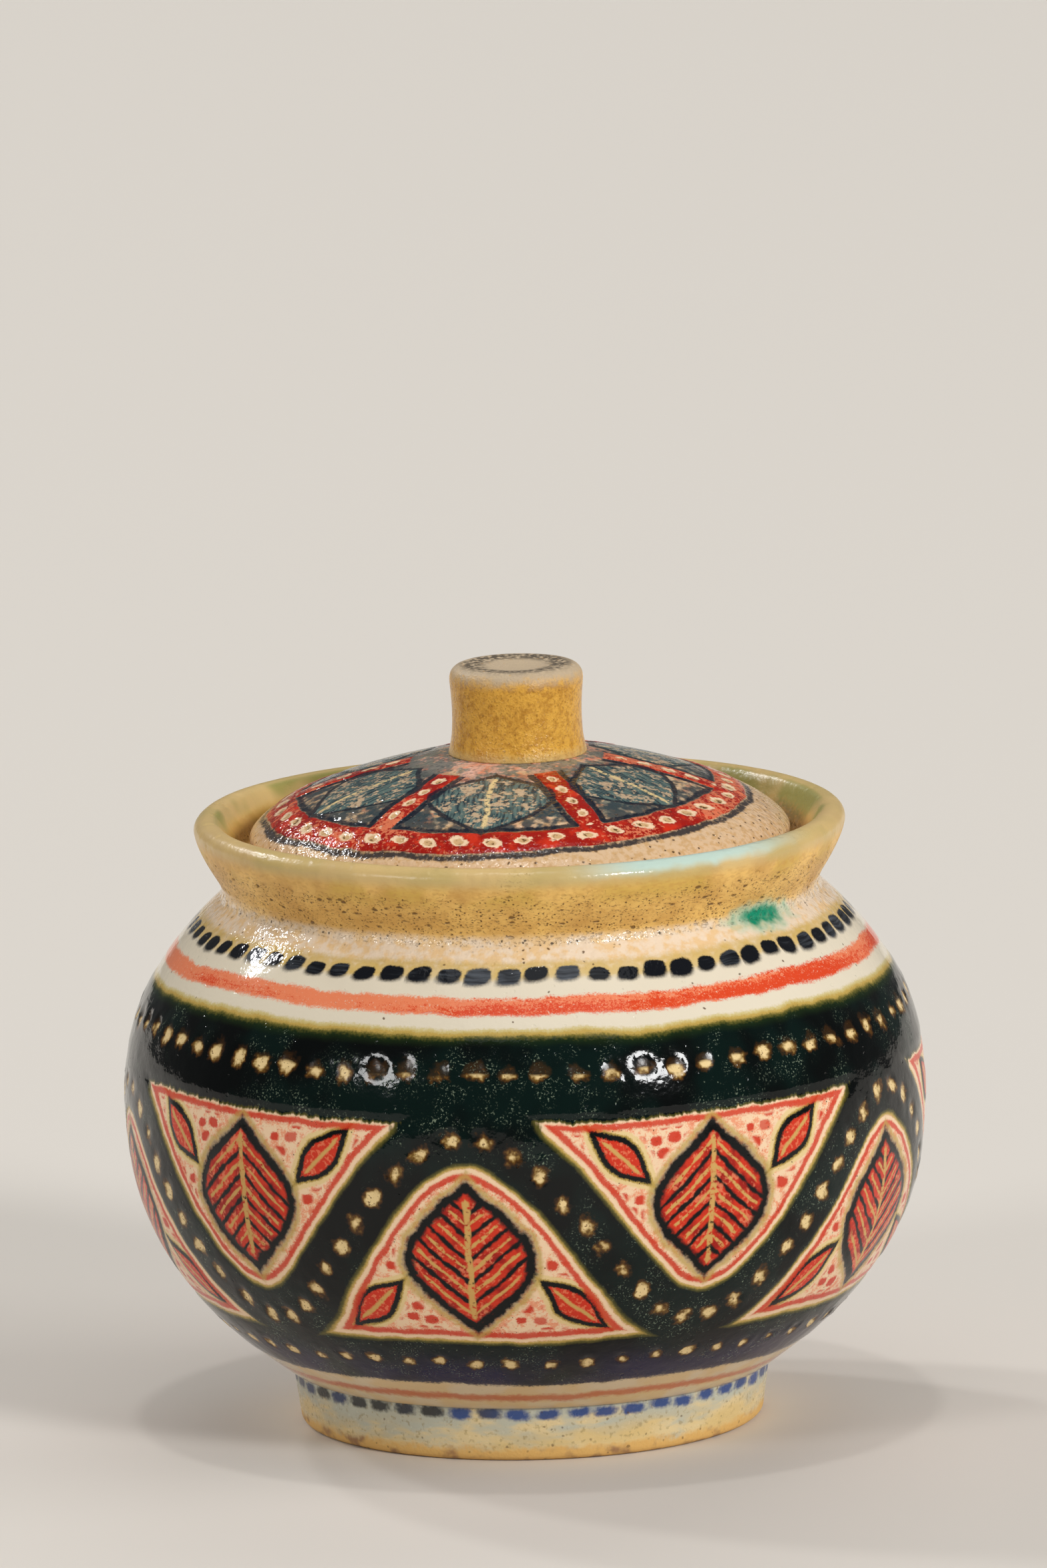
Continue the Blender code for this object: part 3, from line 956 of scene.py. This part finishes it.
def lid_glaze(place):
    """The lid's painted top."""
    spot = lid_spot(place)
    red, dots, navy, leaf, sector = lid_plan(spot)
    powder = noise(place, 0.6, 111, 2.0)
    grit = powder - 0.5
    worn = noise(place, 9.0, 119)
    inner = fade(spot.radius, 34.0, 30.0)
    stipple = specks(place, 0.9, 0.5, 0.75, 18) * inner * fade(noise(place, 7.0, 107), 0.4, 0.56)
    leaf = leaf + grit * 1.6
    shade = fade(leaf, -0.2, 0.6) * between(spot.radius, (13.0, 19.0), (35.0, 33.5))
    shade = shade * fade(noise(place, 1.6, 117, 3.0) + worn * 0.5 - 0.25, 0.32, 0.56)
    midrib = band(sector, 0.0, 0.4, 0.2) * fade(leaf, -0.8, -1.4) * fade(powder, 0.36, 0.5)
    chipped = dots + grit * 1.1 + (noise(place, 2.4, 120) - 0.5) * 1.3
    pits = specks(place, 1.1, 0.26, 0.55, 12) * larger(fade(spot.radius, 38.5, 40.5), 0.5)
    colour = coats(
        LID_BEIGE,
        (LID_SAND, fade(noise(place, 1.0, 110, 3.0), 0.45, 0.62) * 0.8),
        (LID_PINK, fade(spot.radius, 24.0, 13.0) * fade(noise(place, 5.0, 112), 0.35, 0.6)),
        (CORAL, fade(noise(place, 2.2, 113, 3.0), 0.5, 0.66) * inner * 0.7),
        (LID_WASH, fade(noise(place, 1.1, 109, 3.0) + worn - 0.5, 0.4, 0.58) * inner * 0.8),
        (LID_DARK_WASH, stipple * 0.6),
        (LID_DARK_WASH, shade * 0.9),
        (lid_wash(spot, sector, place, grit), fade(leaf, 0.5, -0.5)),
        (DOT_CREAM, midrib),
        (lid_red(spot, place, grit, worn), fade(red + grit * 0.5, 0.3, 0.7)),
        (LID_NAVY, fade(navy + grit * 1.5 - worn * 0.7, -0.1, 0.6) * 0.92),
        (PANEL_CREAM, fade(chipped, 1.05, 0.8) * red),
        (LID_SAND, fade(dots + grit * 0.5, 0.66, 0.4) * red * 0.85),
        (DOT_BROWN, fade(dots, 0.55, 0.3) * fade(noise(place, 0.9, 108), 0.5, 0.6) * red),
        (SPECK_BROWN, pits * 0.85),
    )
    return colour, noise(place, 4.0, 118) * 0.12 + 0.06, orange_peel(place) - pits * 0.7


def knob_glaze(place):
    """Golden salt-fired ochre with a pale fringe, a worn top and a sooty ring round its dish."""
    spot = spot_at(place)
    mottle = noise(place, 0.9, 121, 3.0)
    grain = noise(place, 0.38, 124, 2.0)
    ragged = spot.height + (mottle + noise(place, 4.0, 125) - 1.0) * 2.2
    dish = fade(spot.radius, *KNOB_DISH_RADII) * fade(spot.height, KNOB_CROWN - 6.2, KNOB_CROWN - 3.2)
    worn = larger(fade(ragged, KNOB_CROWN - 3.2, KNOB_CROWN - 0.4), dish)
    soot = band(spot.radius, *KNOB_SOOT_RING) * worn * fade(noise(place, 0.8, 122, 3.0), 0.38, 0.54)
    colour = coats(
        KNOB_GOLD,
        (KNOB_DEEP, fade(mottle + (noise(place, 5.0, 123) - 0.5) * 0.3, 0.4, 0.72) * 0.8),
        (KNOB_BROWN, fade(grain, 0.54, 0.7) * 0.55),
        (LIP_YELLOW, fade(spot.height + mottle * 2.4, KNOB_FOOT + 2.8, KNOB_FOOT + 0.8) * 0.55),
        (KNOB_TOP, worn * 0.9),
        (SOOT, soot * 0.9),
        (OCHRE_DEEP, specks(place, 1.1, 0.22, 0.4, 13) * 0.7),
    )
    return colour, worn * 0.3 + (mottle - 0.5) * 0.1 + 0.19, orange_peel(place) + grain * 1.4


def foot_glaze(place):
    """The foot ring: blue dashes under the joint, mottled pale glaze, painted shade that darkens the dashes
    and greys the glaze towards the left, and bare clay along its lower edge.
    """
    spot = spot_at(drifted(place, 3.0, 0.7, 7))
    powder = noise(place, 0.8, 131, 2.0)
    rolled = joined(spot.turn * 12.0, spot.height, 0.0)
    blue_bleed_and_shade = noise(rolled, 2.4, 132, 3.0) + fade(spot.height, 4.0, 7.5) * 0.16
    # Painted shade: less blue-grey towards the lit right, so more of it stays on the shaded left.
    blue_bleed_and_shade = blue_bleed_and_shade - fade(spot.turn, 0.3, 0.9) * 0.06
    along, across, cell = dab_row(spot, **FOOT_DASHES)
    dash = blunt_blob(along, across, FOOT_DASHES["half"])
    # Dashes go black at random, and also darker towards the left as painted shade.
    dull_and_left_shade = chance(cell, 9) * 0.6 + fade(spot.turn, 0.1, -0.6) * 0.6
    ragged = (powder - 0.5) * 1.6 + (noise(rolled, 2.5, 137) - 0.5) * 2.4
    bare = larger(fade(spot.height + ragged, *FOOT_BARE_EDGE), 1.0 - fade(spot.radius, *FOOT_OUTER_SIDE))
    clay = over(FOOT_BARE, BUFF_DEEP, fade(noise(place, 3.0, 134, 3.0), 0.48, 0.68))
    colour = coats(
        FOOT_PALE,
        (FOOT_BLUE_GREY, fade(blue_bleed_and_shade, 0.42, 0.64) * 0.85),
        (FOOT_YELLOW, fade(noise(rolled, 3.5, 133), 0.36, 0.66) * fade(spot.height, 8.0, 3.5) * 0.8),
        (FOOT_OLIVE, fade(noise(place, 0.7, 136, 3.0), 0.54, 0.7) * 0.5),
        (over(DASH_BLUE, DASH_BLACK, fade(dull_and_left_shade, 0.4, 0.95)), fade(dash + powder - 0.5, 1.4, 0.6) * 0.93),
        (clay, bare),
        (SPECK_BROWN, specks(place, 1.5, 0.2, 0.4, 14) * 0.6),
    )
    lumps = orange_peel(place) + noise(place, 0.4, 135, 3.0) * bare
    return colour, bare * 0.34 + (powder - 0.5) * 0.1 + 0.26, lumps


# Turned pieces

def half_section(node_name):
    """A CAD node's outline on its +X side, as points (radius, height) that run down the outer side, and
    whether it is a closed ring. An open outline is carried on to the axis at both ends."""
    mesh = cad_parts[node_name].data
    keys = {}
    points = {}
    for vertex in mesh.vertices:
        if abs(vertex.co.y) < SECTION_REACH and vertex.co.x > -SECTION_REACH:
            key = (round(vertex.co.x / POINT_GRID), round(vertex.co.z / POINT_GRID))
            keys[vertex.index] = key
            points[key] = Vector((vertex.co.x, vertex.co.z))
    links = {}
    for edge in mesh.edges:
        ends = [keys.get(index) for index in edge.vertices]
        if None not in ends and ends[0] != ends[1]:
            links.setdefault(ends[0], set()).add(ends[1])
            links.setdefault(ends[1], set()).add(ends[0])
    tips = [key for key, near in links.items() if len(near) == 1]
    here = max(tips or links, key=lambda key: (key[1], -key[0]))
    path = [here]
    while True:
        onward = sorted(key for key in links[here] if key not in path)
        if not onward:
            break
        here = onward[-1]
        path.append(here)
    outline = [points[key] for key in path]
    if not tips:
        return outline, True
    if outline[0].x > POLE_MERGE:
        outline.insert(0, Vector((0.0, outline[0].y)))
    if outline[-1].x > POLE_MERGE:
        outline.append(Vector((0.0, outline[-1].y)))
    return outline, False


def luted(outline, side, flare=0.0, skirt=()):
    """The outline with its joint face pressed into its neighbour. Its outer edge there is drawn out by flare,
    or into a skirt, whose steps from that edge are in millimetres."""
    face = max(point.y * side for point in outline)
    widest = max(point.x for point in outline if face - point.y * side < LUTING_EDGE)
    pressed = []
    for point in outline:
        is_joint = face - point.y * side < LUTING_EDGE
        is_edge = is_joint and widest - point.x < LUTING_EDGE
        if is_edge and skirt:
            pressed += [point + Vector(step) * MM for step in skirt]
        else:
            pressed.append(point + Vector((flare * is_edge, LUTING_REACH * side * is_joint)))
    return pressed


def guarded(outline, is_ring):
    """The outline with a point either side of each sharp corner, so that rounding stays small there."""
    result = []
    last = len(outline) - 1
    for index, point in enumerate(outline):
        if not is_ring and index in (0, last):
            result.append(point)
            continue
        into = point - outline[index - 1]
        onward = outline[(index + 1) % len(outline)] - point
        if into.angle(onward) < CORNER_ANGLE:
            result.append(point)
            continue
        result.append(point - into.normalized() * min(CORNER_ROUND, into.length / 3.0))
        result.append(point)
        result.append(point + onward.normalized() * min(CORNER_ROUND, onward.length / 3.0))
    return result


def eased(outline, is_ring):
    """The outline with its corners cut again and again until it is a smooth curve."""
    curve = guarded(outline, is_ring)
    for _ in range(EASE_PASSES):
        ends = zip(curve, curve[1:] + curve[:1]) if is_ring else zip(curve, curve[1:])
        cut = []
        for start, end in ends:
            cut += [start.lerp(end, 0.25), start.lerp(end, 0.75)]
        curve = cut if is_ring else [curve[0]] + cut[1:-1] + [curve[-1]]
    return curve + curve[:1] if is_ring else curve


def spaced(curve, fine, coarse, fine_side):
    """Rings along the curve: fine where its outer side faces fine_side, coarse elsewhere, closer in bends."""
    rings = [curve[0]]
    travelled = 0.0
    heading = None
    for start, end in zip(curve, curve[1:]):
        along = end - start
        if along.length < SAME_POINT:
            continue
        facing = Vector((-along.y, along.x)).normalized()
        step = fine if facing.dot(Vector(fine_side)) > FINE_FACING else coarse
        heading = heading or along
        travelled += along.length
        if travelled >= step or heading.angle(along) > RING_BEND:
            rings.append(end)
            travelled = 0.0
            heading = along
    if (rings[-1] - curve[-1]).length > SECTION_REACH:
        rings.append(curve[-1])
    return rings


def farthest_ring(rings, direction):
    """The ring that lies farthest in a direction of the outline's plane."""
    return max(range(len(rings)), key=lambda index: rings[index].dot(Vector(direction)))


def outline_object(name, rings):
    """The rings' radii and heights as loose points for the turning tree to read."""
    mesh = bpy.data.meshes.new(name)
    mesh.from_pydata([(ring.x, 0.0, ring.y) for ring in rings], [], [])
    piece = bpy.data.objects.new(name, mesh)
    bpy.context.scene.collection.objects.link(piece)
    return piece


TREE_INPUTS = (
    ("Outline", "NodeSocketObject"),
    ("Rings", "NodeSocketInt"),
    ("Steps Around", "NodeSocketInt"),
    ("Relief", "NodeSocketFloat"),
    ("Second Finish From", "NodeSocketInt"),
    ("Third Finish From", "NodeSocketInt"),
)


def passed_on(geometry, kind, **inputs):
    """The geometry after one more node."""
    return out(add_node(geometry.tree, kind, {"Geometry": geometry, **inputs}))


def turning_tree(name, relief, finishes):
    """Geometry nodes that turn an outline on the wheel, press its relief and lay on its finishes."""
    tree = bpy.data.node_groups.new(name, "GeometryNodeTree")
    for label, kind in TREE_INPUTS:
        tree.interface.new_socket(label, in_out="INPUT", socket_type=kind)
    tree.interface.new_socket("Geometry", in_out="OUTPUT", socket_type="NodeSocketGeometry")
    given = add_node(tree, "NodeGroupInput")
    steps = out(given, "Steps Around")
    index = out(add_node(tree, "GeometryNodeInputIndex"))
    here = out(add_node(tree, "GeometryNodeInputPosition"))
    ring = floor_of((index + 0.5) / steps)

    inputs = {"Object": out(given, "Outline")}
    outline = add_node(tree, "GeometryNodeObjectInfo", inputs, transform_space="ORIGINAL")
    inputs = {"Geometry": out(outline, "Geometry"), "Value": here, "Index": ring}
    sample = add_node(tree, "GeometryNodeSampleIndex", inputs, data_type="FLOAT_VECTOR", domain="POINT")
    radius, _, height = split(out(sample, "Value"))
    angle = (index - ring * steps) * math.tau / steps
    turned = joined(sine(angle) * radius, -(cosine(angle) * radius), height)
    inputs = {0: out(add_node(tree, "GeometryNodeInputNormal"))}
    inputs["Scale"] = relief(in_millimetres(here)) * out(given, "Relief") * MM
    lift = out(add_node(tree, "ShaderNodeVectorMath", inputs, operation="SCALE"))

    inputs = {"Vertices": steps, "Side Segments": out(given, "Rings") - 1.0}
    clay = out(add_node(tree, "GeometryNodeMeshCylinder", inputs, fill_type="NONE"), "Mesh")
    clay = passed_on(clay, "GeometryNodeSetPosition", Position=turned)
    clay = passed_on(clay, "GeometryNodeMergeByDistance", Distance=POLE_MERGE)
    clay = passed_on(clay, "GeometryNodeSetPosition", Offset=lift)
    clay = passed_on(clay, "GeometryNodeSetShadeSmooth")
    clay = passed_on(clay, "GeometryNodeRealizeInstances")
    clay = passed_on(clay, "GeometryNodeSetMaterial", Material=finishes[0])
    for material, start in zip(finishes[1:], ("Second Finish From", "Third Finish From")):
        covered = fade(ring - out(given, start), *FINISH_STEP)
        clay = passed_on(clay, "GeometryNodeSetMaterial", Material=material, Selection=covered)
    plug(add_node(tree, "NodeGroupOutput").inputs["Geometry"], clay)
    return tree


def turn(name, node, body, slot, wheel, relief, finishes, zones=(), luting=None):
    """Turns one piece from its CAD node's outline, sets it on its body and hides that node."""
    outline, is_ring = half_section(node)
    if luting:
        outline = luted(outline, **luting)
    steps, *spacing = wheel
    rings = spaced(eased(outline, is_ring), *spacing)
    zone_starts = [farthest_ring(rings, direction) for direction in zones] + [len(rings)] * 2
    guide = outline_object(name + "_outline", rings)
    piece = bpy.data.objects.new(name, bpy.data.meshes.new(name))
    bpy.context.scene.collection.objects.link(piece)
    modifier = piece.modifiers.new("turning", "NODES")
    tree = turning_tree(name + "_turning", relief, finishes)
    modifier.node_group = tree
    values = (guide, len(rings), steps, 1.0, zone_starts[0], zone_starts[1])
    sockets = [item for item in tree.interface.items_tree if item.in_out == "INPUT"]
    for socket, value in zip(sockets, values):
        modifier[socket.identifier] = value
    evaluated = piece.evaluated_get(bpy.context.evaluated_depsgraph_get())
    mesh = bpy.data.meshes.new_from_object(evaluated)
    piece.modifiers.clear()
    piece.data = mesh
    bpy.data.objects.remove(guide)
    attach(piece, body)
    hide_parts(node)


def make_jar(clay):
    """The pieces that stay in place when the lid lifts."""
    turn(
        "glazed_foot", "foot_ring", "jar", "foot_glaze", FOOT_WHEEL,
        foot_relief, [finish(foot_glaze, 0.07)], luting=dict(side=UPPER_FACE),
    )
    turn(
        "painted_bowl", "bowl", "jar", "painted_glaze", BOWL_WHEEL,
        bowl_relief, [finish(liner_glaze, 0.06), finish(painted_glaze, 0.05, 0.26), clay], BOWL_ZONES,
    )
    turn(
        "glazed_collar", "rim_collar", "jar", "ochre_glaze", COLLAR_WHEEL,
        collar_relief, [finish(ochre_glaze, 0.07, 0.35)], luting=dict(side=LOWER_FACE, skirt=COLLAR_SKIRT),
    )


def make_lid(clay):
    """The pieces that lift off together."""
    turn(
        "painted_lid", "lid_dome", "lid", "lid_glaze", LID_WHEEL,
        lid_relief, [finish(lid_glaze, 0.34, 0.38), clay], LID_ZONES,
    )
    turn(
        "clay_flange", "lid_flange", "lid", "bare_clay", FLANGE_WHEEL,
        flange_relief, [clay], luting=dict(side=UPPER_FACE),
    )
    turn(
        "glazed_knob", "lid_knob", "lid", "knob_glaze", KNOB_WHEEL,
        knob_relief, [finish(knob_glaze, 0.13, 0.3)], luting=dict(side=LOWER_FACE, flare=KNOB_FLARE),
    )


# Stage

def floor_finish():
    """Pale plain floor."""
    material = bpy.data.materials.new("pale_floor")
    material.use_nodes = True
    shader = material.node_tree.nodes["Principled BSDF"]
    shader.inputs["Base Color"].default_value = FLOOR_PALE
    shader.inputs["Roughness"].default_value = FLOOR_ROUGHNESS
    return material


def make_floor():
    """A wide round floor that fills the view."""
    corners = []
    for step in range(FLOOR_STEPS):
        angle = math.tau * step / FLOOR_STEPS
        corners.append((FLOOR_REACH * math.cos(angle), FLOOR_REACH * math.sin(angle), 0.0))
    mesh = bpy.data.meshes.new("floor")
    mesh.from_pydata(corners, [], [tuple(range(FLOOR_STEPS))])
    mesh.materials.append(floor_finish())
    floor = bpy.data.objects.new("floor", mesh)
    bpy.context.scene.collection.objects.link(floor)


def make_lamp(name, side, rise, size, power, mirrored):
    """A soft lamp that faces the belly; one that isn't mirrored lights the glaze and leaves no highlight."""
    side = math.radians(side)
    rise = math.radians(rise)
    bearing = Vector((math.sin(side) * math.cos(rise), -math.cos(side) * math.cos(rise), math.sin(rise)))
    lamp = bpy.data.lights.new(name, "AREA")
    lamp.shape = "RECTANGLE"
    lamp.size, lamp.size_y = size
    lamp.energy = power
    softbox = bpy.data.objects.new(name, lamp)
    softbox.location = Vector(LAMP_AIM) + bearing * LAMP_DISTANCE
    softbox.rotation_euler = (-bearing).to_track_quat("-Z", "Y").to_euler()
    softbox.visible_glossy = mirrored
    bpy.context.scene.collection.objects.link(softbox)


def make_dim_light():
    """Dim light from all round."""
    world = bpy.data.worlds.new("dim_light")
    world.use_nodes = True
    background = world.node_tree.nodes["Background"]
    background.inputs["Color"].default_value = DIM_TONE
    background.inputs["Strength"].default_value = DIM_STRENGTH
    bpy.context.scene.world = world


def make_camera():
    """A long lens at the photograph's angle, rolled a little as the photograph is."""
    turned = Matrix.Rotation(math.radians(90.0) - CAMERA_RISE, 3, "X") @ Matrix.Rotation(CAMERA_ROLL, 3, "Z")
    right, up, back = turned.col
    lens = bpy.data.cameras.new("camera")
    lens.sensor_width = SENSOR
    lens.lens = SENSOR * CAMERA_DISTANCE / FRAME_HEIGHT
    lens.clip_end = CAMERA_FAR
    camera = bpy.data.objects.new("camera", lens)
    camera.location = right * AIM[0] + up * AIM[1] + back * CAMERA_DISTANCE
    camera.rotation_euler = turned.to_euler()
    bpy.context.scene.collection.objects.link(camera)
    bpy.context.scene.camera = camera


make_camera()
for lamp_row in LAMPS:
    make_lamp(*lamp_row)
make_dim_light()
make_floor()
buff_clay = finish(bare_clay, 0.08)
make_jar(buff_clay)
make_lid(buff_clay)
bpy.context.scene.view_settings.view_transform = "Standard"
